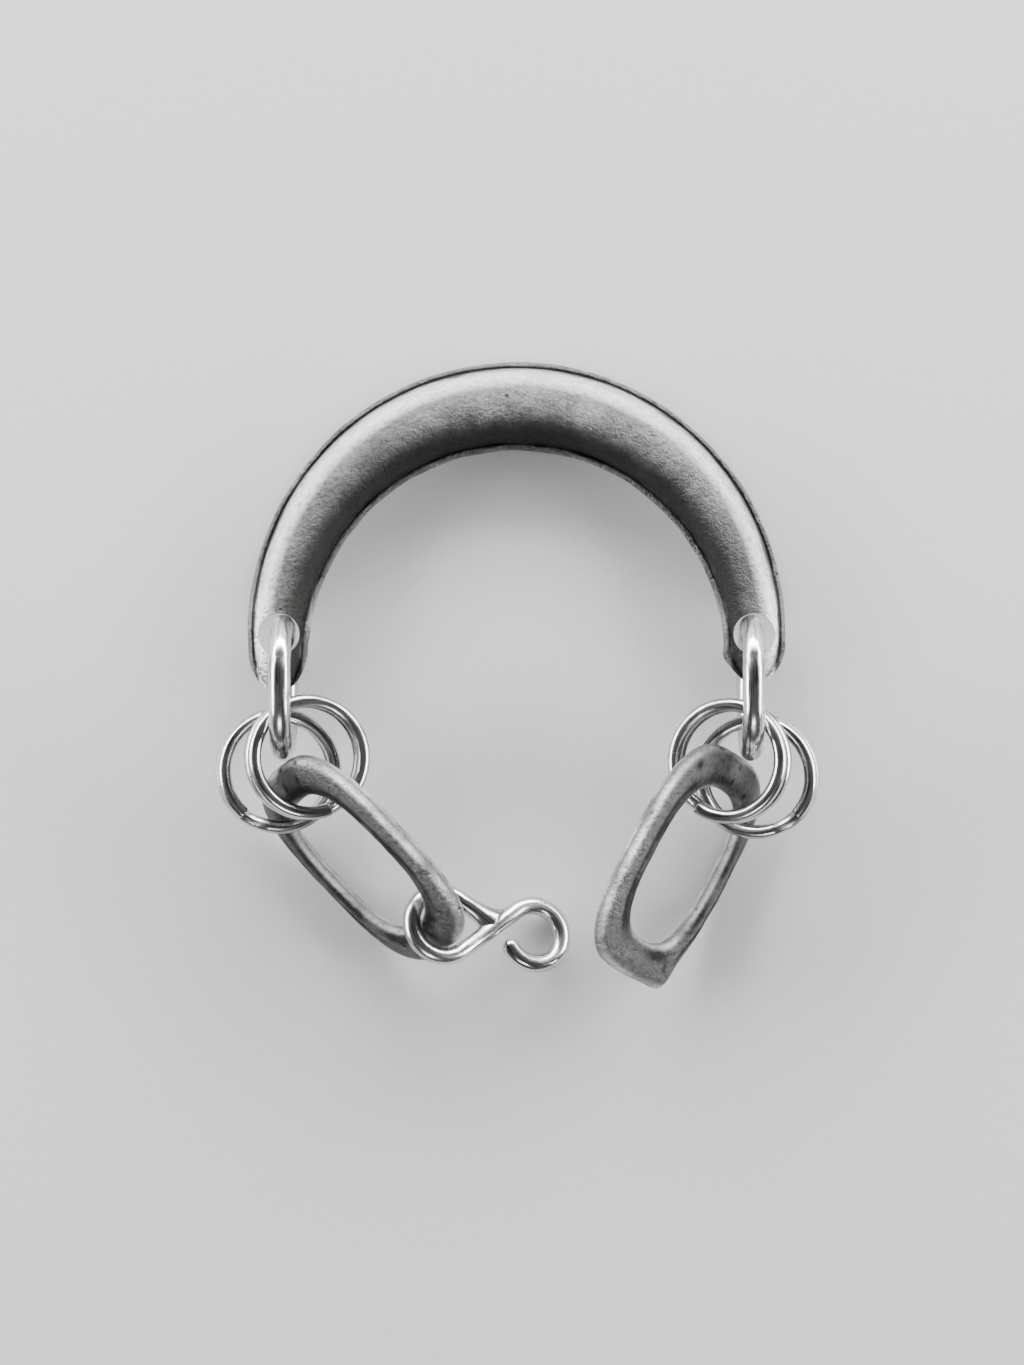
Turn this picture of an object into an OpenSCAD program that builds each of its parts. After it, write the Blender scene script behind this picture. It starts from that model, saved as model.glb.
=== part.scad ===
// Link bracelet, laid flat: an arched bar with a pierced eye at each end, and from each eye an oval link,
// two split rings and a long cast link. The left cast link carries an S-hook clasp.
// Millimetres. +Z is up, +Y points at the crown of the arch, the bracelet lies on z = 0.
// The origin is the centre of the bar's outer arc, on the plane that the bar rests on.
// Every piece of a side is written for the right side, and the left side is its mirror image.

/* [Arch bar] */
// Radius of the bar's outer edge
bar_outer_r = 35; // [31:0.5:42]
// Radius of the bar's inner edge
bar_inner_r = 27; // [24:0.5:32]
// How far the inner arc's centre lies below the outer arc's centre
bar_arc_shift = 3.6; // [2:0.1:5]
// Height of the domed front at the crown
bar_h = 7.2; // [6.6:0.1:9]
// Height of the bar's thin edge
bar_edge = 1.2; // [0.8:0.1:2]
// How far the bar's ends are undercut, so that the oval links pass beneath them
end_lift = 4.3; // [3.6:0.1:4.6]
// How much wider the hole in each end is than the oval link's wire
hole_play = 2.5; // [1.9:0.1:3.1]
// Distance from a hole's centre to the tip of the bar, at the left end
left_tip = 7.4; // [5:0.1:8]
// Distance from a hole's centre to the tip of the bar, at the right end
right_tip = 6.4; // [5:0.1:8]

/* [Oval links] */
// Wire diameter of the oval links
oval_wire = 2.9; // [2.4:0.1:3.1]
// Length of the oval links' opening
oval_len = 13.2; // [11:0.1:15]
// Width of the oval links' opening
oval_w = 10.4; // [9.5:0.1:11]

/* [Split rings] */
// Outside diameter of the split rings
ring_d = 16.3; // [15:0.1:17]
// Wire diameter of the split rings
ring_wire = 1.75; // [1.4:0.05:1.9]
// Gap between the two turns of a split ring
turn_gap = 0.06; // [0.04:0.01:0.1]

/* [Cast links] */
// Length of a cast link
cast_len = 32.4; // [29:0.1:39]
// Width of a cast link
cast_w = 19.2; // [18.6:0.1:20.6]
// Width of a cast link's ends
cast_end = 5.4; // [4.8:0.1:6]
// Width of the heavy arm, which lies above the split rings
heavy_arm = 4.2; // [3.4:0.1:4.4]
// Width of the light arm, which lies beneath the split rings
light_arm = 2.4; // [2:0.1:2.8]
// Thickness of a cast link at its ends and heavy arm
cast_t = 3.1; // [2.6:0.1:3.3]
// Thickness of the light arm
light_t = 2.5; // [2:0.1:2.8]

/* [S-hook] */
// Wire diameter of the S-hook
hook_wire = 2.3; // [2:0.1:2.5]
// Play of the closed eye round the end of the cast link
eye_play = 0.04; // [0.02:0.01:0.3]
// Radius of the open hook, at the middle of its wire
hook_r = 3.9; // [3.4:0.1:4.6]
// Distance between the centres of the eye and the hook
hook_span = 13; // [11.6:0.1:15]

/* [Hidden] */
LEFT = 0;
RIGHT = 1;
$fn = 48;

// ---- Arch bar ----
hole_d = oval_wire + hole_play;
hole_angle = -1;
hole_r = (bar_outer_r + inner_edge(hole_angle)) / 2;
hole_at = hole_r * [cos(hole_angle), sin(hole_angle)];
round_len = 5;        // length over which a tip narrows to its point
plate_t = 3.1;        // thickness of the bar's metal at a tip
lift_start = 20;      // the back begins to rise at this many degrees above the horizontal
below = 1;            // the swept back dips this far below the plane that trims it flat

// Distance from the origin to the bar's inner edge, in the direction a
function inner_edge(a) = sqrt(pow(bar_inner_r, 2) - pow(bar_arc_shift * cos(a), 2)) - bar_arc_shift * sin(a);

function smooth(t) = let (c = min(1, max(0, t))) c * c * (3 - 2 * c);

// Share of the full width left at a distance d from a rounded tip
function tip_share(d) = d >= round_len ? 1 : sqrt(max(0.0004, 1 - pow(1 - d / round_len, 2)));

// One closed section of the bar, at the angle a and the distance d from the nearer tip
function bar_section(a, d) =
    let (
        inner = inner_edge(a),
        mid = (bar_outer_r + inner) / 2,
        half = (bar_outer_r - inner) / 2 * tip_share(d),
        rise = 1 - smooth((min(a, 180 - a) - hole_angle) / (lift_start - hole_angle)),
        back = -below + (end_lift + below) * rise,
        edge = max(0, back) + bar_edge,
        crown = bar_h * (0.88 + 0.12 * sin(max(0, a))) - (bar_h * 0.88 - end_lift - plate_t) * (1 - smooth(d / 9)),
        top = edge + (crown - edge) * tip_share(d),
        dome = [for (k = [0:14]) let (s = cos(k * 180 / 14)) [s, pow(1 - pow(abs(s), 2.6), 0.62)]],
        flat = concat([[-half, back], [half, back]], [for (p = dome) [p[0] * half, edge + (top - edge) * p[1]]])
    )
    [for (p = flat) [(mid + p[0]) * cos(a), (mid + p[0]) * sin(a), p[1]]];

module arch_bar() {
    mid_r = hole_r;
    right_end = hole_angle - right_tip / mid_r * 180 / PI;
    left_end = 180 - hole_angle + left_tip / mid_r * 180 / PI;
    // stations crowd towards both tips, where the outline turns fastest
    stations = [for (k = [0:72]) let (t = (1 - cos(k * 180 / 72)) / 2) right_end + (left_end - right_end) * t];
    sections = [
        for (a = stations)
            bar_section(a, min(a - right_end, left_end - a) * PI / 180 * mid_r)
    ];
    color("silver")
        difference() {
            sweep(sections, closed = false);
            translate([-60, -60, -10]) cube([120, 120, 10]);
            for (side = [-1, 1])
                translate([side * hole_at[0], hole_at[1], -1]) cylinder(d = hole_d, h = bar_h + 5);
        }
}

// ---- Where the pieces lie: each pair is [left, right], written as if both were the right side ----
oval_grip = 0.4;      // the oval link's opening begins this far below the hole's centre
floor_play = 0.1;
oval_at = [for (x = [-0.66, -0.51])
    [hole_at[0] + x, hole_at[1] - oval_grip - oval_len / 2, oval_w / 2 + oval_wire + floor_play]];
oval_turn = [3, 2];                   // turn of an oval link about the chain's own line
// The rings and the cast link hang from the lower end of the oval link's opening
low_end = [hole_at[0], hole_at[1] - oval_grip - oval_len, 0];
front_at = [[-3.806, -2.361, 9.9], [-3.306, -2.861, 9.4]];
front_tilt = [[-2.8, -15.8], [-3.4, -20.5]];   // turn about X, then about Y
front_end = [247, 235];               // where round the ring the upper turn's cut end lies
rear_at = [[-0.006, -4.171, 6.93], [0.294, -4.861, 6.3]];
rear_tilt = [[-1.3, -11.5], [3.7, -12]];
rear_end = [310, 318];
// A cast link is placed by the middle of its upper end
cast_at = [[0.157, -3.738, 8.522], [-2.365, -1.81, 6.611]];
cast_swing = [46.4, 61.8];            // turn about Z
cast_tilt = [[50.7, -2.2], [45.9, 3.5]];       // turn about its long axis, then its short one
corner = [0, 1.7];                    // how far a cast link's lower corner by the light arm is drawn out
// The hook is placed from the middle of the left cast link's lower end
cast_way = [
    -cos(cast_swing[LEFT]) * cos(cast_tilt[LEFT][1]),
    sin(cast_swing[LEFT]) * cos(cast_tilt[LEFT][1]),
    -sin(cast_tilt[LEFT][1])
];
cast_foot = [-low_end[0] - cast_at[LEFT][0], low_end[1] + cast_at[LEFT][1], cast_at[LEFT][2]]
    - (cast_len - cast_end / 2) * cast_way;
hook_at = [0.967, 1.209, 0.738];
hook_tilt = [-16.6, 23.3];            // turn about X, then about Y

// ---- Sweeps ----
// Joins a row of closed sections into one solid; a section's points run clockwise seen along the row
module sweep(sections, closed) {
    rows = len(sections);
    cols = len(sections[0]);
    points = [for (s = sections) each s];
    sides = [
        for (i = [0:rows - (closed ? 1 : 2)], j = [0:cols - 1])
            let (a = i * cols, b = (i + 1) % rows * cols, k = (j + 1) % cols)
                each [[a + j, a + k, b + k], [a + j, b + k, b + j]]
    ];
    first = [for (j = [cols - 1:-1:0]) j];
    last = [for (j = [0:cols - 1]) (rows - 1) * cols + j];
    polyhedron(points, closed ? sides : concat(sides, [first, last]), convexity = 8);
}

// ---- Oval links ----
// A racetrack of round wire: its long axis lies along Y and it stands on edge
module oval_link() {
    bend = (oval_w + oval_wire) / 2;
    straight = (oval_len - oval_w) / 2;
    color("silver") rotate([90, 0, 90])
        for (end = [0, 180]) rotate(end) {
            translate([straight, 0, 0]) rotate(-90)
                rotate_extrude(angle = 180) translate([bend, 0]) circle(d = oval_wire);
            translate([-straight, bend, 0]) rotate([0, 90, 0]) cylinder(d = oval_wire, h = 2 * straight);
        }
}

// ---- Split rings ----
ring_mid_r = (ring_d - ring_wire) / 2;
step_turn = 30;       // degrees over which the wire steps from the upper turn to the lower one
wire_sides = 10;

// Height of the wire's centre after it has gone t degrees round
function coil_z(t) = (ring_wire + turn_gap) / 2 * (1 - 2 * smooth((t - 360 + step_turn) / step_turn));

// Two turns of round wire, the cut ends a step apart; the upper turn's cut end is at start degrees
module split_ring(start) {
    last = 720 - step_turn - 4;
    count = 72;
    sections = [
        for (i = [0:count])
            let (t = last * i / count, a = start + t)
                [for (j = [0:wire_sides - 1])
                    let (b = j * 360 / wire_sides, r = ring_mid_r + ring_wire / 2 * cos(b))
                        [r * cos(a), r * sin(a), coil_z(t) + ring_wire / 2 * sin(b)]]
    ];
    color("gainsboro") sweep(sections, closed = false);
}

// ---- Cast links ----
// The heavy arm is towards +Y of the link's own frame and the light arm towards -Y
function power_of(v, e) = sign(v) * pow(abs(v), e);

// A point of a rounded rectangle of the given length and width, at the angle t
function slab(t, l, w, roundness) =
    [power_of(cos(t), 2 / roundness) * l / 2, power_of(sin(t), 2 / roundness) * w / 2];

module cast_link(corner) {
    count = 60;
    around = 12;
    open_w = cast_w - heavy_arm - light_arm;
    shift = [0, (light_arm - heavy_arm) / 2];
    sections = [
        for (i = [0:count - 1])
            let (
                t = i * 360 / count,
                point = corner * exp(-pow((t - 213) / 13, 2)),
                outer = slab(t, cast_len, cast_w, 3.2) - point * [0.6, 0.8],
                inner = slab(t, cast_len - 2 * cast_end, open_w, 2.7) + shift,
                mid = (outer + inner) / 2,
                reach = (outer - inner) / 2,
                thick = cast_t - (cast_t - light_t) * max(0, -sin(t))
            )
            [for (j = [0:around - 1])
                let (b = j * 360 / around)
                    [mid[0] + reach[0] * cos(b), mid[1] + reach[1] * cos(b), thick / 2 * sin(b)]]
    ];
    color("darkgray") sweep(sections, closed = true);
}

// ---- S-hook ----
// The eye's centre is the origin and the hook's centre lies along +X
eye_r = (norm([cast_end, cast_t]) + hook_wire) / 2 + eye_play;
hook_lean = asin((eye_r + hook_r) / hook_span);   // slope of the straight middle
eye_end = 61;         // angle on the eye where its wire leaves the circle to meet the middle
hook_sweep = 277;     // degrees that the open hook turns through
solder_r = 1.7;       // drop of solder that closes the eye
arc_step = 10;        // degrees between the sections of a bend

function on_circle(r, a) = r * [cos(a), sin(a)];

// Places along an arc as [x, y, heading], turned clockwise when by is negative
function arc_run(centre, r, from, by) =
    let (count = ceil(abs(by) / arc_step))
    [for (i = [0:count]) let (a = from + by * i / count) [each (centre + on_circle(r, a)), a + 90 * sign(by)]];

// A round section of wire of radius r at a place [x, y, heading]
function wire_section(place, r) =
    [for (j = [0:wire_sides - 1])
        let (b = (j + 0.5) * 360 / wire_sides, across = place[2] - 90)
            [place[0] + r * cos(b) * cos(across), place[1] + r * cos(b) * sin(across), r * sin(b)]];

// Sections that round a piece off, from angle first to angle last of a ball of radius r at a place
function rounded(place, r, angles) =
    [for (a = angles) let (p = on_circle(r * sin(a), place[2]))
        wire_section([place[0] + p[0], place[1] + p[1], place[2]], r * cos(a))];

module s_hook() {
    hook_centre = [hook_span, 0];
    start = on_circle(eye_r, hook_lean - 90);
    finish = hook_centre + on_circle(hook_r, hook_lean + 90);
    middle = (finish - start) / norm(finish - start);
    leaves = on_circle(eye_r, eye_end);
    heading = on_circle(1, eye_end - 90);
    // distance along the eye's straight end to the line of the middle
    to_middle = start - leaves;
    reach = (to_middle[0] * middle[1] - to_middle[1] * middle[0])
        / (heading[0] * middle[1] - heading[1] * middle[0]);
    eye_tip = leaves + (reach - 1.25 * hook_wire) * heading;
    hook_run = arc_run(hook_centre, hook_r, hook_lean + 90, -hook_sweep);
    run = concat(
        [[each eye_tip, eye_end + 90]],
        arc_run([0, 0], eye_r, eye_end, 360 - eye_end + hook_lean - 90),
        hook_run
    );
    solder_at = leaves + (reach - 0.8 * hook_wire) * heading;
    color("gainsboro")
        union() {
            sweep(concat(
                [for (p = run) wire_section(p, hook_wire / 2)],
                rounded(hook_run[len(hook_run) - 1], hook_wire / 2, [30, 60, 80])
            ), closed = false);
            sweep(rounded([each solder_at, eye_end - 65], solder_r, [-75, -50, -25, 0, 25, 50, 75]), closed = false);
        }
}

// ---- Left and right ----
module on_side(side) {
    if (side == LEFT) mirror([1, 0, 0]) children();
    else children();
}

module placed_oval(side) {
    on_side(side) translate(oval_at[side]) rotate([0, oval_turn[side], 0]) oval_link();
}

module placed_ring(side, at, tilt, end) {
    on_side(side) translate(low_end + at[side]) rotate([tilt[side][0], 0, 0]) rotate([0, tilt[side][1], 0])
        split_ring(end[side]);
}

module placed_cast(side) {
    on_side(side) translate(low_end + cast_at[side]) rotate(cast_swing[side])
        rotate([0, cast_tilt[side][1], 0]) rotate([cast_tilt[side][0], 0, 0])
            translate([-cast_len / 2, 0, 0]) cast_link(corner[side]);
}

module placed_hook() {
    translate(cast_foot + hook_at) rotate([hook_tilt[0], 0, 0]) rotate([0, hook_tilt[1], 0]) s_hook();
}

arch_bar();
placed_oval(LEFT);  // oval_link_left
placed_ring(LEFT, front_at, front_tilt, front_end);  // split_ring_front_left
placed_ring(LEFT, rear_at, rear_tilt, rear_end);  // split_ring_rear_left
placed_cast(LEFT);  // cast_link_left
placed_hook();  // s_hook
placed_oval(RIGHT);  // oval_link_right
placed_ring(RIGHT, front_at, front_tilt, front_end);  // split_ring_front_right
placed_ring(RIGHT, rear_at, rear_tilt, rear_end);  // split_ring_rear_right
placed_cast(RIGHT);  // cast_link_right
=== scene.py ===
"""A silver link bracelet laid flat: arched bar, oval links, split rings, cast links and an S-hook.

Lengths are worked out in millimetres in the row frame and put into the meshes in metres.
Each piece is a grid of closed sections, P[station, point, xyz], joined by skin().
"""

import bpy
import numpy as np
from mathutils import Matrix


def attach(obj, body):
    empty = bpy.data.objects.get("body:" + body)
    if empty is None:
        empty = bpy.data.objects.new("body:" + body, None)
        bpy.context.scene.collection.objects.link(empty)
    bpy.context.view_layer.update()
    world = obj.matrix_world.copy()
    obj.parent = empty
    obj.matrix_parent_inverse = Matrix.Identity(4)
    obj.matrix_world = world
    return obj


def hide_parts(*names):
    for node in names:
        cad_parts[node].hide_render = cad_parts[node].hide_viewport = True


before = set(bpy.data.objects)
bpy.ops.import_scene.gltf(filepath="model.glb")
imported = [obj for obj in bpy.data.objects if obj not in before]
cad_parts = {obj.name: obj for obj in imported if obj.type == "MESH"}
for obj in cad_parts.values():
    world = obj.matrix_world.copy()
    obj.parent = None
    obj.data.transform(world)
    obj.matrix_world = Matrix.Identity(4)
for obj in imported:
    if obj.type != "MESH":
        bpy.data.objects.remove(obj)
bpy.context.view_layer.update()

MM = 0.001
LEFT, RIGHT = 0, 1

# the arched bar: radii of its two arcs and how far the inner one's centre lies below, height and edge,
# lift of the ends, holes, length past each hole, and where the ends round off, thin out and rise
OUTER_R, INNER_R, ARC_SHIFT = 35.0, 27.0, 3.6
BAR_H, BAR_EDGE, END_LIFT = 7.2, 1.2, 4.3
HOLE_D, HOLE_ANGLE = 5.4, -1.0
TIPS = {"left": 7.4, "right": 6.4}
ROUND_LEN, PLATE_T, LIFT_START = 5.0, 3.1, 20.0


# ---------------------------------------------------------------- turning and placing

def turn(axis, degrees):
    """The 3 x 3 matrix that turns by degrees about the x, y or z axis, by the right-hand rule."""
    c, s = np.cos(np.radians(degrees)), np.sin(np.radians(degrees))
    return np.array({
        "x": [[1, 0, 0], [0, c, -s], [0, s, c]],
        "y": [[c, 0, s], [0, 1, 0], [-s, 0, c]],
        "z": [[c, -s, 0], [s, c, 0], [0, 0, 1]],
    }[axis], float)


def lay(grid, at, turned, side):
    """Turns a grid, moves it to at, and mirrors it in X when it belongs to the left side."""
    placed = grid @ turned.T + np.array(at, float)
    return placed * [-1, 1, 1] if side == LEFT else placed


def smooth(t):
    """0 below 0, 1 above 1, and 3 t^2 - 2 t^3 in between."""
    c = np.clip(t, 0, 1)
    return c * c * (3 - 2 * c)


def ripple(p, size, seed, waves=14):
    """Even unevenness between about -1 and 1: a sum of sine waves of random direction, about size mm long."""
    rng = np.random.default_rng(seed)
    way = rng.normal(size=(waves, 3))
    way *= (2 * np.pi / size / rng.uniform(0.7, 1.6, waves) / np.linalg.norm(way, axis=1))[:, None]
    return np.sin(p @ way.T + rng.uniform(0, 2 * np.pi, waves)).sum(-1) / np.sqrt(waves) / 1.4


def dents(u, v, centres, sizes, depths):
    """Sum of round pits in the two lengths u and v: -depth * exp(-(distance / size)^2)."""
    total = np.zeros_like(u)
    for (cu, cv), size, depth in zip(centres, sizes, depths):
        total -= depth * np.exp(-((u - cu) ** 2 + (v - cv) ** 2) / size ** 2)
    return total


# ---------------------------------------------------------------- meshes

def skin(name, grids, closed, body, node, finish, marks=None):
    """One object from grids of sections: quads between neighbours, and a flat face on each open end."""
    verts, faces = [], []
    base = 0
    for grid, loop in zip(grids, closed):
        rows, cols = grid.shape[:2]
        last = rows if loop else rows - 1
        i, j = np.meshgrid(np.arange(last), np.arange(cols), indexing="ij")
        k, m = (i + 1) % rows, (j + 1) % cols
        quads = np.stack([i * cols + j, i * cols + m, k * cols + m, k * cols + j], -1).reshape(-1, 4)
        shell = [list(q) for q in (quads + base).tolist()]
        if not loop:
            shell.append((base + np.arange(cols)[::-1]).tolist())
            shell.append((base + (rows - 1) * cols + np.arange(cols)).tolist())
        flat = grid.reshape(-1, 3)
        # six times the enclosed volume is the sum of a . (b x c) over the triangles of every quad
        a, b, c, d = (flat[quads[:, n]] for n in range(4))
        if (a * np.cross(b, c) + a * np.cross(c, d)).sum() < 0:
            shell = [f[::-1] for f in shell]
        verts.append(flat)
        faces += shell
        base += rows * cols
    mesh = bpy.data.meshes.new(name)
    points = np.concatenate(verts) * MM
    mesh.from_pydata(points.tolist(), [], faces)
    if marks is not None:
        wire = mesh.attributes.new("wire", "FLOAT_VECTOR", "POINT")
        wire.data.foreach_set("vector", (np.concatenate([m.reshape(-1, 3) for m in marks]) * MM).ravel())
    mesh.polygons.foreach_set("use_smooth", np.array([len(f) == 4 for f in faces]))
    mesh.materials.append(finish)
    mesh.update()
    piece = bpy.data.objects.new(name, mesh)
    bpy.context.scene.collection.objects.link(piece)
    if body:
        claim(piece, body, node)
    return piece


def claim(piece, body, node):
    """The piece moves with its body and stands for its CAD node, which is hidden."""
    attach(piece, body)
    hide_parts(node)


def wire_round(path, across, up, radius, count=32):
    """Round sections of wire: path + radius * (cos b * across + sin b * up).

    The marks that come with them are (length along the wire, cos b, sin b).
    """
    b = np.arange(count) * 2 * np.pi / count
    r = np.broadcast_to(radius, (len(path),))[:, None, None]
    cb, sb = np.cos(b)[None, :, None], np.sin(b)[None, :, None]
    grid = path[:, None] + r * (cb * across[:, None] + sb * up[:, None])
    run = np.concatenate([[0], np.cumsum(np.linalg.norm(np.diff(path, axis=0), axis=1))])
    marks = np.stack(np.broadcast_arrays(run[:, None], np.cos(b)[None] * 1.0, np.sin(b)[None] * 1.0), -1)
    return grid, marks


# ---------------------------------------------------------------- materials

def nodes_of(name):
    """A new material with its node tree and its main shader."""
    mat = bpy.data.materials.new(name)
    mat.use_nodes = True
    tree = mat.node_tree
    shader = tree.nodes["Principled BSDF"]
    return mat, tree, shader


def add(tree, kind, links=None, **values):
    """A node with its properties and socket values set, and its inputs linked."""
    node = tree.nodes.new(kind)
    for key, value in values.items():
        if key in node.inputs.keys():
            node.inputs[key].default_value = value
        else:
            setattr(node, key, value)
    for key, source in (links or {}).items():
        tree.links.new(source, node.inputs[key])
    return node


def math(tree, operation, a, b=None):
    """A sum on one or two values, each a number or another node's output."""
    node = tree.nodes.new("ShaderNodeMath")
    node.operation = operation
    for n, value in enumerate((a, b)):
        if value is None:
            continue
        if isinstance(value, (int, float)):
            node.inputs[n].default_value = value
        else:
            tree.links.new(value, node.inputs[n])
    return node.outputs[0]


def ramp(tree, source, *stops):
    """A colour ramp on a value: stops are (position, grey or colour)."""
    node = tree.nodes.new("ShaderNodeValToRGB")
    element = node.color_ramp.elements
    for n, (place, colour) in enumerate(stops):
        item = element[n] if n < 2 else element.new(place)
        item.position = place
        item.color = (*(colour if isinstance(colour, tuple) else (colour,) * 3), 1)
    tree.links.new(source, node.inputs[0])
    return node.outputs[0]


def noise(tree, place, scale, detail, roughness=0.5):
    """Cloudy noise, 0 to 1, with about scale waves to the metre."""
    node = add(tree, "ShaderNodeTexNoise", {"Vector": place}, Scale=scale, Detail=detail, Roughness=roughness)
    return node.outputs["Fac"]


# the dark colour: painted shade on the bar, painted shade and tarnish on the links
PATINA_AND_SHADE = (0.028, 0.027, 0.026, 1)
# the bright colour: a painted highlight on the bar, rubbed wear and a painted highlight on the links
RUBBED_AND_HIGHLIGHT = (0.96, 0.955, 0.945, 1)
TO_RAMP = 100.0            # a ramp spans 10 mm, so 0.1 on it is 1 mm


def cast_finish(name, on_bar):
    """Satin cast silver: fine grain, soft clouds of tarnish and small pits.

    On the bar, distances from its outer and inner arcs paint shade, a dark line inside the outer lip and a
    dark band
    on the inner slope, and paint a bright highlight band near the outer lip. On a link, its own attributes do
    it:
    one paints shade into creases, pits and the inner side, and the other brightens the edges, partly as
    rubbed wear and partly as a painted highlight.
    """
    mat, tree, shader = nodes_of(name)
    place = add(tree, "ShaderNodeTexCoord").outputs["Object"]
    grain = noise(tree, place, 1500.0, 5.0, 0.68)
    speck = noise(tree, place, 3600.0, 2.0)
    cloud = noise(tree, place, 150.0, 6.0, 0.68)
    cells = add(tree, "ShaderNodeTexVoronoi", {"Vector": place}, Scale=430.0, Randomness=1.0)
    cell = cells.outputs["Distance"]
    few = math(tree, "GREATER_THAN", noise(tree, place, 240.0, 1.0), 0.60)       # only some cells hold a pit
    pit = math(tree, "MULTIPLY", ramp(tree, cell, (0.0, 1.0), (0.15, 0.0)), few)
    if on_bar:
        flat = add(tree, "ShaderNodeVectorMath", {0: place}, operation="MULTIPLY")
        flat.inputs[1].default_value = (1, 1, 0)
        out_r = add(tree, "ShaderNodeVectorMath", {0: flat.outputs[0]}, operation="LENGTH").outputs["Value"]
        shifted = add(tree, "ShaderNodeVectorMath", {0: flat.outputs[0]}, operation="ADD")
        shifted.inputs[1].default_value = (0, ARC_SHIFT * MM, 0)
        in_r = add(tree, "ShaderNodeVectorMath", {0: shifted.outputs[0]}, operation="LENGTH").outputs["Value"]
        from_out = math(tree, "MULTIPLY", math(tree, "SUBTRACT", OUTER_R * MM, out_r), TO_RAMP)
        from_in = math(tree, "MULTIPLY", math(tree, "SUBTRACT", in_r, INNER_R * MM), TO_RAMP)
        wander = math(tree, "MULTIPLY", math(tree, "SUBTRACT", cloud, 0.5), 0.22)
        # painted shade: a dark line inside the outer lip and a dark band on the inner slope
        line = ramp(tree, from_out, (0.048, 0.0), (0.062, 1.0), (0.078, 0.8), (0.11, 0.0))
        band = ramp(tree, math(tree, "ADD", from_in, wander),
                    (0.07, 0.0), (0.105, 1.0), (0.27, 0.93), (0.40, 0.62), (0.66, 0.0))
        dark = math(tree, "MAXIMUM", math(tree, "MULTIPLY", line, 0.65), band)
        # painted highlight: a bright band near the outer lip
        worn = ramp(tree, math(tree, "ADD", from_out, math(tree, "MULTIPLY", wander, 0.7)),
                    (0.09, 0.0), (0.12, 1.0), (0.22, 0.8), (0.36, 0.0))
    else:
        # painted shade in creases, pits and on the inner side; the edges are painted bright, partly rubbed
        # wear and partly painted highlight
        painted_shade = add(tree, "ShaderNodeAttribute", attribute_name="painted_shade").outputs["Fac"]
        worn = add(tree, "ShaderNodeAttribute", attribute_name="worn").outputs["Fac"]
        tarnish = math(tree, "MULTIPLY", ramp(tree, cloud, (0.44, 0.0), (0.60, 1.0)), 0.50)
        dark = math(tree, "MINIMUM", math(tree, "ADD", painted_shade, tarnish), 1.0)
        dark = math(tree, "MULTIPLY", dark, math(tree, "SUBTRACT", 1.0, math(tree, "MULTIPLY", worn, 0.8)))
    dark = math(tree, "MAXIMUM", dark, math(tree, "MULTIPLY", pit, 0.9))
    tone = ramp(tree, cloud, (0.34, (0.12, 0.119, 0.117)), (0.52, (0.175, 0.174, 0.171)),
                (0.72, (0.26, 0.258, 0.253)))
    # painted highlight mixed into the tone, with rubbed wear on the links
    tone_and_highlight = add(tree, "ShaderNodeMix", {"Factor": worn, 6: tone}, data_type="RGBA")
    tone_and_highlight.inputs[7].default_value = RUBBED_AND_HIGHLIGHT
    mottle = ramp(tree, grain, (0.36, 0.55), (0.50, 0.90), (0.62, 1.0))
    speckled = add(tree, "ShaderNodeMix", {6: tone_and_highlight.outputs[2], 7: mottle}, data_type="RGBA",
                   blend_type="MULTIPLY")
    speckled.inputs["Factor"].default_value = 0.9
    colour = add(tree, "ShaderNodeMix", {"Factor": dark, 6: speckled.outputs[2]}, data_type="RGBA")
    colour.inputs[7].default_value = PATINA_AND_SHADE
    tree.links.new(colour.outputs[2], shader.inputs["Base Color"])
    rough = math(tree, "ADD", ramp(tree, cloud, (0.3, 0.44), (0.7, 0.33)), math(tree, "MULTIPLY", dark, 0.12))
    rough = math(tree, "SUBTRACT", rough, math(tree, "MULTIPLY", worn, 0.14))
    rough = math(tree, "ADD", rough, math(tree, "MULTIPLY", math(tree, "SUBTRACT", grain, 0.5), 0.30))
    tree.links.new(rough, shader.inputs["Roughness"])
    shader.inputs["Metallic"].default_value = 1.0
    height = math(tree, "ADD", math(tree, "MULTIPLY", grain, 1.0), math(tree, "MULTIPLY", speck, 0.35))
    height = math(tree, "SUBTRACT", height, math(tree, "MULTIPLY", pit, 1.3))
    bump = add(tree, "ShaderNodeBump", {"Height": height}, Strength=1.0, Distance=0.00035)
    tree.links.new(bump.outputs[0], shader.inputs["Normal"])
    return mat


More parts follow.
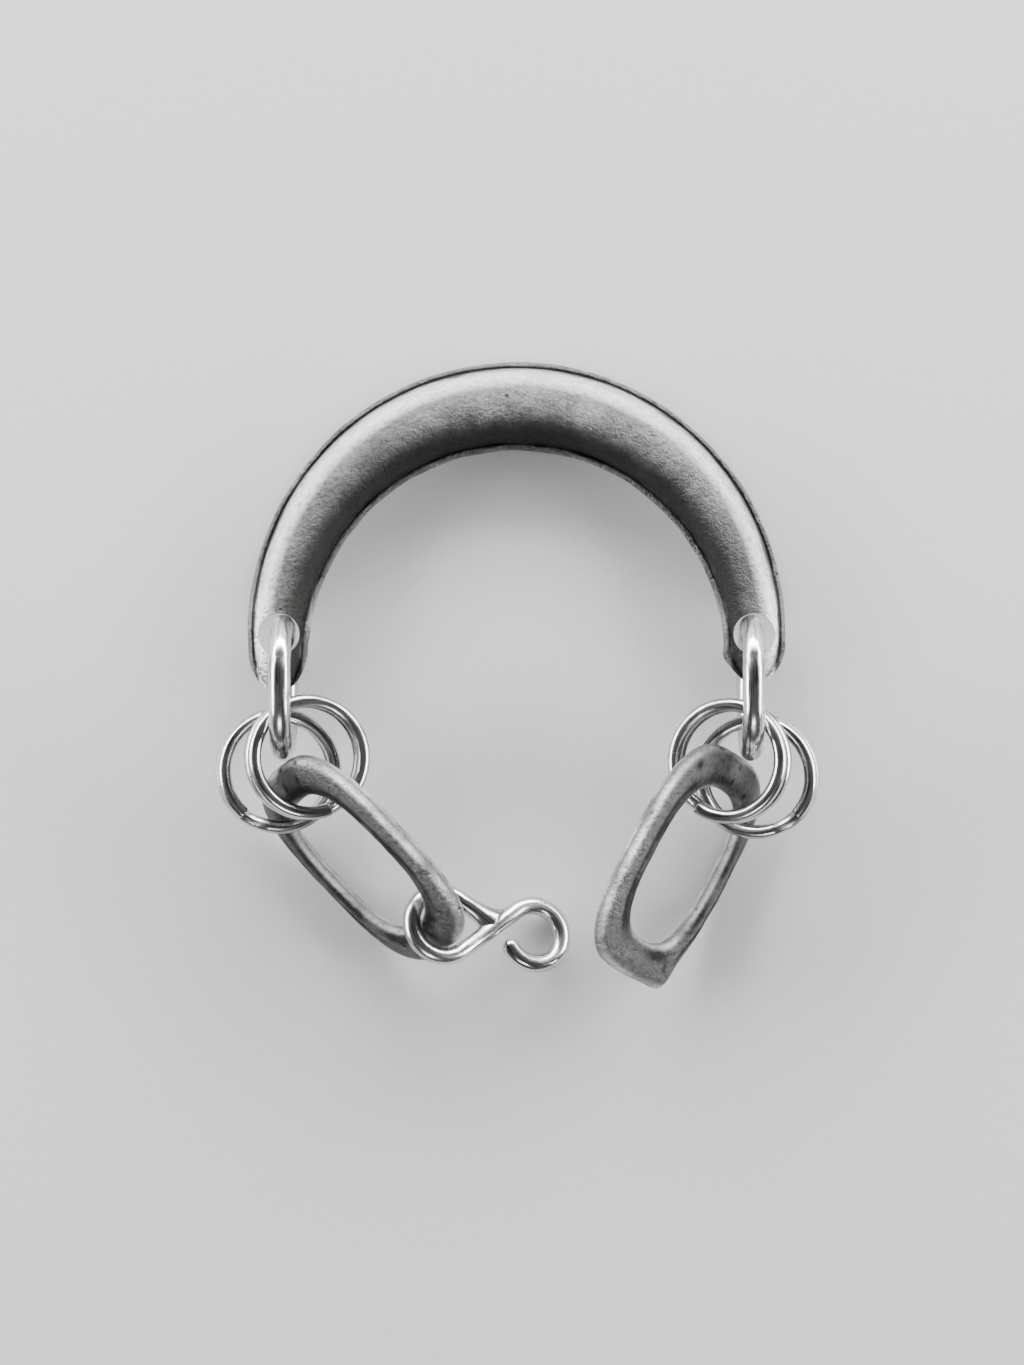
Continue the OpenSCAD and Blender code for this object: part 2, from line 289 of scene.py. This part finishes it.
def wire_finish(name):
    """Polished silver wire: draw marks along the wire, a few soft scratches and a little tarnish."""
    mat, tree, shader = nodes_of(name)
    place = add(tree, "ShaderNodeTexCoord").outputs["Object"]
    wire = add(tree, "ShaderNodeAttribute", attribute_name="wire").outputs["Vector"]
    longways = add(tree, "ShaderNodeMapping", {"Vector": wire})
    longways.inputs["Scale"].default_value = (160, 4200, 4200)
    draw = noise(tree, longways.outputs[0], 1.0, 3.0)
    cloud = noise(tree, place, 260.0, 4.0, 0.6)
    fine = noise(tree, place, 1500.0, 3.0)
    tone = ramp(tree, cloud, (0.34, (0.34, 0.337, 0.33)), (0.47, (0.66, 0.655, 0.645)),
                (0.68, (0.84, 0.835, 0.825)))
    streak = ramp(tree, draw, (0.38, 0.08), (0.47, 1.0))
    colour = add(tree, "ShaderNodeMix", {6: tone, 7: streak}, data_type="RGBA", blend_type="MULTIPLY")
    colour.inputs["Factor"].default_value = 0.75
    tree.links.new(colour.outputs[2], shader.inputs["Base Color"])
    rough = ramp(tree, cloud, (0.35, 0.24), (0.7, 0.11))
    rough = math(tree, "ADD", rough, math(tree, "MULTIPLY", draw, 0.10))
    tree.links.new(rough, shader.inputs["Roughness"])
    shader.inputs["Metallic"].default_value = 1.0
    height = math(tree, "ADD", math(tree, "MULTIPLY", draw, 0.6), math(tree, "MULTIPLY", fine, 0.6))
    bump = add(tree, "ShaderNodeBump", {"Height": height}, Strength=0.30, Distance=0.00005)
    tree.links.new(bump.outputs[0], shader.inputs["Normal"])
    return mat


def floor_finish():
    """Plain pale paper with a very faint tooth."""
    mat, tree, shader = nodes_of("pale_floor")
    place = add(tree, "ShaderNodeTexCoord").outputs["Object"]
    tooth = noise(tree, place, 900.0, 3.0)
    tone = ramp(tree, tooth, (0.3, (0.60, 0.60, 0.597)), (0.7, (0.62, 0.62, 0.617)))
    tree.links.new(tone, shader.inputs["Base Color"])
    shader.inputs["Roughness"].default_value = 0.9
    return mat


bar_silver = cast_finish("bar_silver", on_bar=True)
link_silver = cast_finish("link_silver", on_bar=False)
wire_silver = wire_finish("wire_silver")


# ---------------------------------------------------------------- the arched bar


def inner_edge(a):
    """Distance from the origin to the inner arc, whose centre lies ARC_SHIFT below it, in the direction a."""
    a = np.radians(a)
    return np.sqrt(INNER_R ** 2 - (ARC_SHIFT * np.cos(a)) ** 2) - ARC_SHIFT * np.sin(a)


HOLE_R = float((OUTER_R + inner_edge(HOLE_ANGLE)) / 2)
HOLE_AT = HOLE_R * np.array([np.cos(np.radians(HOLE_ANGLE)), np.sin(np.radians(HOLE_ANGLE))])


def arched_bar():
    """The bar as sections across the arch, s from -1 on the inner edge to 1 on the outer edge.

    A narrow lip runs along both edges. Inside it the front rises as a dome,
    z = base + (top - base) * (1 - |s'|^2.9)^0.62, where base is 0.10 below the edge and s' reaches 1
    at the lip. Towards a tip the width and height shrink as the root of 1 - (1 - d / ROUND_LEN)^2.
    """
    right = HOLE_ANGLE - np.degrees(TIPS["right"] / HOLE_R)
    left = 180 - HOLE_ANGLE + np.degrees(TIPS["left"] / HOLE_R)
    t = np.linspace(0, 1, 421)
    a = right + (left - right) * (0.35 * (1 - np.cos(np.pi * t)) / 2 + 0.65 * t)
    d = np.radians(np.minimum(a - right, left - a)) * HOLE_R
    rounded = np.sqrt(np.maximum(0.0012, 1 - (1 - np.minimum(d / ROUND_LEN, 1)) ** 2))
    share = np.where(d >= ROUND_LEN, 1, rounded)
    inner = inner_edge(a)
    mid, half = (OUTER_R + inner) / 2, (OUTER_R - inner) / 2 * share
    rise = 1 - smooth((np.minimum(a, 180 - a) - HOLE_ANGLE) / (LIFT_START - HOLE_ANGLE))
    back = np.maximum(0, -1 + (END_LIFT + 1) * rise)
    edge = back + BAR_EDGE
    crown = BAR_H * (0.88 + 0.12 * np.sin(np.radians(np.clip(a, 0, 180)))) \
        - (BAR_H * 0.88 - END_LIFT - PLATE_T) * (1 - smooth(d / 9))
    top = edge + (crown - edge) * share

    s = np.sin(np.linspace(-np.pi / 2, np.pi / 2, 91))[None, :]
    half_, edge_, top_, back_ = half[:, None], edge[:, None], top[:, None], back[:, None]
    inset = half_ * (1 - np.abs(s))
    lip = np.where(s > 0, 0.62, 0.78) * np.minimum(1, half_ / 3)
    dome_s = np.clip(np.abs(s) * half_ / np.maximum(half_ - lip - 0.18, 0.05), 0, 1)
    z = edge_ - 0.10 + (top_ - edge_ + 0.10) * (1 - dome_s ** 2.9) ** 0.62
    lip_z = edge_ + 0.16 * np.sqrt(np.clip(1 - ((inset - lip * 0.5) / (lip * 0.56)) ** 2, 0, 1)) - 0.06
    z = np.where(inset < lip, np.maximum(lip_z, edge_ - 0.12), np.maximum(z, edge_ - 0.22))
    front = np.stack([np.broadcast_to(s * half_, z.shape), z], -1)

    w = np.linspace(0, 1, 9)[1:-1]
    round_r = np.minimum(0.28, half * 0.5)[:, None]
    ang = np.radians(np.linspace(0, 90, 6))[None, :]
    outer_foot = np.stack([half_ - round_r * (1 - np.cos(ang)), back_ + round_r * (1 - np.sin(ang))], -1)
    inner_foot = outer_foot[:, ::-1] * [-1, 1]
    run = (half_ - round_r) * (1 - 2 * w)[None, :]
    flat = np.stack([run, np.broadcast_to(back_, run.shape)], -1)
    section = np.concatenate([front, outer_foot, flat, inner_foot], 1)

    ca, sa = np.cos(np.radians(a))[:, None], np.sin(np.radians(a))[:, None]
    r = mid[:, None] + section[..., 0]
    grid = np.stack([r * ca, r * sa, section[..., 1]], -1)
    # a cast surface: the front swells and sinks a little and the two edges wander
    lifted = np.clip((section[..., 1] - edge_) / 3, 0, 1)
    grid[..., 2] += lifted * (0.055 * ripple(grid, 7, 3) + 0.02 * ripple(grid, 2.2, 4))
    out = smooth(section[..., 0] / np.maximum(half_, 0.01) * 2 - 1)
    inn = smooth(-section[..., 0] / np.maximum(half_, 0.01) * 2 - 1)
    plan = grid * [1, 1, 0]
    wander = -0.10 * out * (1 + ripple(plan, 6, 5)) / 2 + 0.13 * inn * (1 + ripple(plan, 4, 6)) / 2
    knob = np.exp(-((a + 7.5) / 2.6) ** 2)[:, None] * inn * -0.55       # a bump on the right end's inner edge
    shift = (wander + knob) * share[:, None]
    grid[..., 0] += shift * ca
    grid[..., 1] += shift * sa
    # small casting pits on the front
    rng = np.random.default_rng(11)
    u, v = np.radians(a)[:, None] * mid[:, None] + 0 * r, section[..., 0]
    spots = np.array([[17.0, 26.4], [19.8, 23.5], [-31.8, 5.2], [-31.2, 4.2]])
    angle, dist = np.arctan2(spots[:, 1], spots[:, 0]), np.hypot(spots[:, 0], spots[:, 1])
    mid_at = (OUTER_R + inner_edge(np.degrees(angle))) / 2
    centres = np.concatenate([np.stack([angle * mid_at, dist - mid_at], 1),
                              np.stack([rng.uniform(4, 96, 34), rng.uniform(-4.2, 4.2, 34)], 1)])
    sizes = np.concatenate([[0.34, 0.3, 0.4, 0.3], rng.uniform(0.16, 0.34, 34)])
    depths = np.concatenate([[0.16, 0.13, 0.18, 0.12], rng.uniform(0.03, 0.09, 34)])
    grid[..., 2] += (lifted > 0.3) * dents(u, v, centres, sizes, depths)
    return grid


def hole_cutter(x):
    """A plug for one hole: radius HOLE_D / 2 with a small flare where it leaves the front and the back."""
    z = np.array([-1.5, 3.6, 4.1, 4.25, 4.5, 5.6, 6.6, 6.95, 7.2, 7.5, 12.0])
    flare = np.array([0.5, 0.5, 0.28, 0.12, 0.0, 0.0, 0.03, 0.12, 0.30, 0.62, 0.9])
    b = np.arange(72) * 2 * np.pi / 72
    r = (HOLE_D / 2 + flare)[:, None]
    return np.stack(np.broadcast_arrays(x + r * np.cos(b), HOLE_AT[1] + r * np.sin(b), z[:, None]), -1)


def pierced_bar():
    """The bar less the two plugs, as one finished mesh."""
    bar = skin("arch_bar_casting", [arched_bar()], [False], None, None, bar_silver)
    for side in (-1, 1):
        plug = skin("plug", [hole_cutter(side * HOLE_AT[0])], [False], None, None, bar_silver)
        cut = bar.modifiers.new("hole", "BOOLEAN")
        cut.operation, cut.solver, cut.object = "DIFFERENCE", "EXACT", plug
        bpy.context.view_layer.update()
        mesh = bpy.data.meshes.new_from_object(bar.evaluated_get(bpy.context.evaluated_depsgraph_get()))
        bar.modifiers.clear()
        bar.data = mesh
        bpy.data.objects.remove(plug)
    mesh.polygons.foreach_set("use_smooth", np.ones(len(mesh.polygons), bool))
    mesh.set_sharp_from_angle(angle=np.radians(48))
    claim(bar, "bar", "arch_bar")
    return bar


# ---------------------------------------------------------------- oval links

OVAL_WIRE, OVAL_LEN, OVAL_W = 2.9, 13.2, 10.4
OVAL_Y = HOLE_AT[1] - 0.4 - OVAL_LEN / 2
OVAL_AT = [[HOLE_AT[0] - 0.66, OVAL_Y, 8.2], [HOLE_AT[0] - 0.51, OVAL_Y, 8.2]]
OVAL_TURN = [3, 2]


def oval_link(side):
    """Wire round a racetrack in the local YZ plane: two half circles joined by two straights.

    The wire is a hair thinner where it was soldered, and its thickness wavers by about a hundredth.
    """
    bend, straight = (OVAL_W + OVAL_WIRE) / 2, (OVAL_LEN - OVAL_W) / 2
    n = 88
    bow = np.linspace(-90, 90, n)
    mid = np.linspace(0, 1, 22)[1:-1]
    ang = np.radians(np.concatenate([bow, np.full(20, 90), bow + 180, np.full(20, 270)]))
    shift = np.concatenate([np.full(n, straight), straight - 2 * straight * mid,
                            np.full(n, -straight), -straight + 2 * straight * mid])
    across = np.stack([0 * ang, np.cos(ang), np.sin(ang)], 1)
    path = across * bend
    path[:, 1] += shift
    roll = -130 * len(path) // 360                       # the seam lies on the front strand
    path, across = np.roll(path, roll, 0), np.roll(across, roll, 0)
    up = np.tile([1.0, 0, 0], (len(path), 1))
    run = np.arange(len(path)) / len(path)
    seam = np.exp(-(np.minimum(run, 1 - run) / 0.010) ** 2)
    waver = 1 - 0.012 + 0.010 * np.sin(run * 2 * np.pi * 5 + side)
    radius = OVAL_WIRE / 2 * waver - 0.05 * seam
    grid, marks = wire_round(path, across, up, radius, 40)
    grid += 0.012 * ripple(grid, 2.4, 20 + side)[..., None] * (grid - path[:, None])
    return lay(grid, OVAL_AT[side], turn("y", OVAL_TURN[side]), side), marks


# ---------------------------------------------------------------- split rings

RING_D, RING_WIRE, TURN_GAP, STEP_TURN = 16.3, 1.75, 0.06, 30.0
RINGS = {
    "front": ([[27.1, -16.5, 9.9], [27.6, -17, 9.4]], [[-2.8, -15.8], [-3.4, -20.5]], [247, 235]),
    "rear": ([[30.9, -18.31, 6.93], [31.2, -19, 6.3]], [[-1.3, -11.5], [3.7, -12]], [310, 318]),
}


def split_ring(which, side):
    """Two turns of wire round a circle: height h(t) steps from +half to -half over STEP_TURN degrees.

    Both cut ends are snipped flat, with the last third of a millimetre rounded over.
    """
    at, tilt, start = RINGS[which]
    last = 720 - STEP_TURN - 4
    mid_r = (RING_D - RING_WIRE) / 2
    nib = np.array([0, 0.10, 0.3, 0.7, 1.3, 2.2])
    t = np.concatenate([nib, np.linspace(3.4, last - 3.4, 470), last - nib[::-1]])
    snip = np.array([0.72, 0.84, 0.92, 0.97, 0.99, 1.0])
    worn = np.concatenate([snip, np.ones(470), snip[::-1]])
    a = np.radians(start[side] + t)
    h = (RING_WIRE + TURN_GAP) / 2 * (1 - 2 * smooth((t - 360 + STEP_TURN) / STEP_TURN))
    across = np.stack([np.cos(a), np.sin(a), 0 * a], 1)
    path = across * mid_r
    path[:, 2] = h
    up = np.tile([0, 0, 1.0], (len(t), 1))
    radius = RING_WIRE / 2 * worn * (1 + 0.008 * np.sin(np.radians(t) * 3 + side * 2))
    grid, marks = wire_round(path, across, up, radius, 28)
    turned = turn("x", tilt[side][0]) @ turn("y", tilt[side][1])
    return lay(grid, at[side], turned, side), marks


# ---------------------------------------------------------------- cast links

CAST_LEN, CAST_W, CAST_OPEN = 32.4, 19.2, 21.6
HEAVY_ARM, LIGHT_ARM, CAST_T, LIGHT_T = 4.2, 2.4, 3.1, 2.5
CAST_AT = [[19.9, -29.6, 7.9], [20.9, -30.2, 7.6]]
CAST_SWING = [46.4, 61.8]
CAST_TILT = [[50.7, -2.2], [45.9, 3.5]]
CORNER = [0, 1.7]          # how far the lower corner by the light arm is drawn out
BOXY, SLIM = 2.35, 0.95    # how square the section is, and its share of the arm, so that linked pieces clear


def power_of(v, e):
    """|v|^e with the sign of v."""
    return np.sign(v) * np.abs(v) ** e


def rounded_box(t, length, width, roundness):
    """A point of a superellipse: |cos t|^(2/n) * length / 2, |sin t|^(2/n) * width / 2."""
    return np.stack([power_of(np.cos(t), 2 / roundness) * length / 2,
                     power_of(np.sin(t), 2 / roundness) * width / 2], -1)


def cast_link(side):
    """A flat casting between two rounded boxes, whose sections are rounded slabs of the arm's size.

    The heavy arm has a lengthwise crease, the light arm a shallower one; ends are pitted.
    Returns the grid, how much painted shade each point takes (in a crease or pit and along the inner side)
    and how bright its edge is painted, partly rubbed wear and partly a painted highlight, both 0 to 1.
    """
    # stations spread evenly along the middle line
    fine = np.linspace(0, 2 * np.pi, 4001)
    open_w = CAST_W - HEAVY_ARM - LIGHT_ARM
    shift = np.array([0, (LIGHT_ARM - HEAVY_ARM) / 2])

    def edges(t):
        """The outer and inner outline at t, the outer one with its drawn-out corner."""
        point = CORNER[side] * np.exp(-((np.degrees(t) - 213) / 13) ** 2)
        outer = rounded_box(t, CAST_LEN, CAST_W, 3.2) - point[:, None] * [0.6, 0.8]
        return outer, rounded_box(t, CAST_OPEN, open_w, 2.7) + shift

    outer, inner = edges(fine)
    run = np.concatenate([[0], np.cumsum(np.linalg.norm(np.diff((outer + inner) / 2, axis=0), axis=1))])
    count, around = 430, 52
    t = np.interp(np.arange(count) / count * run[-1], run, fine)
    outer, inner = edges(t)
    mid, reach = (outer + inner) / 2, (outer - inner) / 2
    thick = CAST_T - (CAST_T - LIGHT_T) * np.maximum(0, -np.sin(t))
    b = np.arange(around) * 2 * np.pi / around
    cb, sb = power_of(np.cos(b), 2 / BOXY)[None] * SLIM, power_of(np.sin(b), 2 / BOXY)[None] * SLIM
    x = mid[:, :1] + reach[:, :1] * cb
    y = mid[:, 1:] + reach[:, 1:] * cb
    z = thick[:, None] / 2 * sb
    grid = np.stack([x, y, z], -1)
    out = np.stack([reach[:, :1] * cb, reach[:, 1:] * cb, z], -1)
    out /= np.linalg.norm(out, axis=-1, keepdims=True)

    s = np.arange(count)[:, None] / count * run[-1] + 0 * cb
    girth = np.linalg.norm(reach, axis=1)[:, None] * cb      # from the inner edge (-) to the outer (+)
    heavy = smooth((np.sin(t)[:, None] - 0.55) / 0.3)
    light = smooth((-np.sin(t)[:, None] - 0.55) / 0.3)
    front = (sb > 0.2) * 1.0
    bent = 0.35 * np.sin(s / 5.0 + side)
    crease = heavy * front * np.exp(-((girth + 0.55 + bent) / 0.30) ** 2) * 0.9
    crease += light * front * np.exp(-((girth - 0.35 + 0.5 * bent) / 0.20) ** 2) * 0.7
    rng = np.random.default_rng(31 + side)
    pits = 46
    round_b = b[None] * 2.0 + 0 * s
    ends = rng.choice([0.0, 0.5], pits) * run[-1] + rng.normal(0, 5.5, pits)
    hollow = dents(s, round_b, np.stack([ends % run[-1], rng.uniform(0.3, 12.2, pits)], 1),
                   rng.uniform(0.22, 0.55, pits), rng.uniform(0.35, 1.0, pits))
    hollow = np.clip(-hollow, 0, 1)
    grid += out * (-0.13 * crease - 0.15 * hollow)[..., None]
    swell = 0.05 * ripple(grid, 4.5, 41 + side) + 0.025 * ripple(grid, 1.6, 51 + side) - 0.02
    grid += out * swell[..., None]
    shade = 0.85 * np.exp(-((cb + 0.50) / 0.30) ** 2) * np.clip(0.7 + 0.6 * ripple(grid, 6, 87 + side), 0, 1)
    # painted shade: creases, pits and the inner side are darkened
    painted_shade = np.clip(crease + 0.9 * hollow + shade, 0, 1)
    # edges painted bright: partly rubbed wear, partly a painted highlight
    edge = np.exp(-((np.abs(cb) - 0.86) / 0.13) ** 2) * np.abs(sb) ** 0.5
    worn = edge * np.clip(0.75 + 0.5 * ripple(grid, 5, 81 + side), 0, 1) * (1 - painted_shade)
    turned = turn("z", CAST_SWING[side]) @ turn("y", CAST_TILT[side][1]) @ turn("x", CAST_TILT[side][0])
    return lay(grid, CAST_AT[side], turned, side), painted_shade, worn


# ---------------------------------------------------------------- the S-hook

HOOK_WIRE, EYE_R, HOOK_R, HOOK_SPAN = 2.3, 4.3, 3.9, 13.0
EYE_END, HOOK_SWEEP = 61.0, 277.0
HOOK_AT, HOOK_TILT = [-9.63, -38.16, 8.12], [-16.6, 23.3]


def arc(centre, r, start, by, step=2.0):
    """Points and headings along an arc, turned clockwise when by is negative."""
    a = np.radians(np.linspace(start, start + by, int(abs(by) / step) + 1))
    points = np.array(centre) + r * np.stack([np.cos(a), np.sin(a)], 1)
    return np.column_stack([points, a + np.sign(by) * np.pi / 2])


def s_hook():
    """Wire from the eye's soldered end round the eye, down the straight middle and round the open hook."""
    lean = np.degrees(np.arcsin((EYE_R + HOOK_R) / HOOK_SPAN))

    def spot(r, deg):
        """The point at the distance r in the direction deg."""
        return r * np.array([np.cos(np.radians(deg)), np.sin(np.radians(deg))])

    centre = np.array([HOOK_SPAN, 0.0])
    start, finish = spot(EYE_R, lean - 90), centre + spot(HOOK_R, lean + 90)
    way = (finish - start) / np.linalg.norm(finish - start)
    leaves, heading = spot(EYE_R, EYE_END), spot(1, EYE_END - 90)
    gap = start - leaves
    reach = (gap[0] * way[1] - gap[1] * way[0]) / (heading[0] * way[1] - heading[1] * way[0])
    tip = leaves + (reach - 0.10 * HOOK_WIRE) * heading
    lead = tip + (leaves - tip) * np.linspace(0, 1, 12)[:-1, None]
    eye = arc([0, 0], EYE_R, EYE_END, 360 - EYE_END + lean - 90)
    middle = start + (finish - start) * np.linspace(0, 1, 30)[1:-1, None]
    bow = arc(centre, HOOK_R, lean + 90, -HOOK_SWEEP)
    places = np.concatenate([
        np.column_stack([lead, np.full(len(lead), np.radians(EYE_END + 90))]), eye,
        np.column_stack([middle, np.full(len(middle), eye[-1, 2])]), bow])
    # the free end is a rounded nose: the wire runs on by sin and narrows by cos
    nose = np.radians([15, 30, 45, 60, 72, 82, 88])
    r = HOOK_WIRE / 2
    last = bow[-1, 2]
    runs_on = bow[-1, :2] + (r * np.sin(nose))[:, None] * [np.cos(last), np.sin(last)]
    ends = np.column_stack([runs_on, np.full(len(nose), last)])
    places = np.concatenate([places, ends])
    radius = np.concatenate([np.full(len(places) - len(nose), 1.0), np.cos(nose)]) * r
    path = np.column_stack([places[:, :2], 0 * radius])
    across = np.stack([np.sin(places[:, 2]), -np.cos(places[:, 2]), 0 * radius], 1)
    # the solder draws the eye's end out sideways where it meets the middle
    across[:len(lead)] *= (1 + 1.1 * np.linspace(1, 0, len(lead)) ** 3)[:, None]
    up = np.tile([0, 0, 1.0], (len(path), 1))
    grid, marks = wire_round(path, across, up, radius, 36)
    grid += 0.010 * ripple(grid, 3, 61)[..., None] * (grid - path[:, None])

    # a low drop of solder over the eye's end
    a, b = np.radians(np.linspace(-86, 86, 26)), np.arange(36) * 2 * np.pi / 36
    drop_at = leaves + (reach - 0.42 * HOOK_WIRE) * heading
    along, beside = np.array([*way, 0]), np.array([-way[1], way[0], 0])
    size = np.array([1.9, 1.20, 0.95])
    drop = np.array([*drop_at, 0]) + size[0] * np.sin(a)[:, None, None] * along \
        + np.cos(a)[:, None, None] * (size[1] * np.cos(b)[None, :, None] * beside
                                      + size[2] * np.sin(b)[None, :, None] * np.array([0, 0, 1.0]))
    drop += 0.05 * ripple(drop, 1.5, 71)[..., None] * [0, 0, 1]
    drop_marks = np.zeros(drop.shape)
    turned = turn("x", HOOK_TILT[0]) @ turn("y", HOOK_TILT[1])
    return [lay(g, HOOK_AT, turned, RIGHT) for g in (grid, drop)], [marks, drop_marks]


# ---------------------------------------------------------------- the bracelet

pierced_bar()
for side, word in ((LEFT, "left"), (RIGHT, "right")):
    grid, marks = oval_link(side)
    skin("oval_link_" + word + "_wire", [grid], [True], "oval_" + word, "oval_link_" + word,
         wire_silver, [marks])
    for which in RINGS:
        grid, marks = split_ring(which, side)
        skin("split_ring_" + which + "_" + word + "_wire", [grid], [False], which + "_ring_" + word,
             "split_ring_" + which + "_" + word, wire_silver, [marks])
    grid, painted_shade, worn = cast_link(side)
    link = skin("cast_link_" + word + "_casting", [grid], [True], "cast_" + word, "cast_link_" + word,
                link_silver)
    # the painted shade and the painted-bright edges go to the finish as attributes
    link.data.attributes.new("painted_shade", "FLOAT", "POINT").data.foreach_set("value", painted_shade.ravel())
    link.data.attributes.new("worn", "FLOAT", "POINT").data.foreach_set("value", worn.ravel())
grids, marks = s_hook()
skin("s_hook_wire", grids, [False, False], "hook", "s_hook", wire_silver, marks)


# ---------------------------------------------------------------- floor, light and camera

def flat_floor():
    """A square of floor at the height the bracelet rests on."""
    mesh = bpy.data.meshes.new("floor")
    w = 3.0                # half its width, in metres
    mesh.from_pydata([(-w, -w, 0), (w, -w, 0), (w, w, 0), (-w, w, 0)], [], [(0, 1, 2, 3)])
    mesh.materials.append(floor_finish())
    floor = bpy.data.objects.new("floor", mesh)
    bpy.context.scene.collection.objects.link(floor)


def soft_light(name, at, size, power, aim=(0, -0.008, 0)):
    """A rectangular lamp that looks at aim."""
    from mathutils import Vector
    data = bpy.data.lights.new(name, "AREA")
    data.shape, data.size, data.size_y, data.energy = "RECTANGLE", size[0], size[1], power
    lamp = bpy.data.objects.new(name, data)
    lamp.location = at
    lamp.rotation_euler = (Vector(aim) - Vector(at)).to_track_quat("-Z", "Y").to_euler()
    bpy.context.scene.collection.objects.link(lamp)


flat_floor()
soft_light("far_window", (0.0, 0.60, 0.22), (1.0, 0.20), 15.0)
soft_light("left_window", (-0.60, 0.16, 0.21), (0.8, 0.18), 10.5)
soft_light("right_window", (0.60, 0.16, 0.21), (0.8, 0.18), 10.5)
soft_light("front_fill", (0.0, -0.80, 0.75), (0.5, 0.25), 3.0)
world = bpy.data.worlds.new("studio")
world.use_nodes = True
world.node_tree.nodes["Background"].inputs["Color"].default_value = (0.62, 0.63, 0.64, 1)
world.node_tree.nodes["Background"].inputs["Strength"].default_value = 0.11
bpy.context.scene.world = world

lens = bpy.data.cameras.new("camera")
camera = bpy.data.objects.new("camera", lens)
bpy.context.scene.collection.objects.link(camera)
camera.location = (-0.000585, -0.006825, 1.2)
lens.sensor_width = 36
lens.lens = 36 * 1.195 / 0.17745
lens.clip_start, lens.clip_end = 0.05, 20
bpy.context.scene.camera = camera
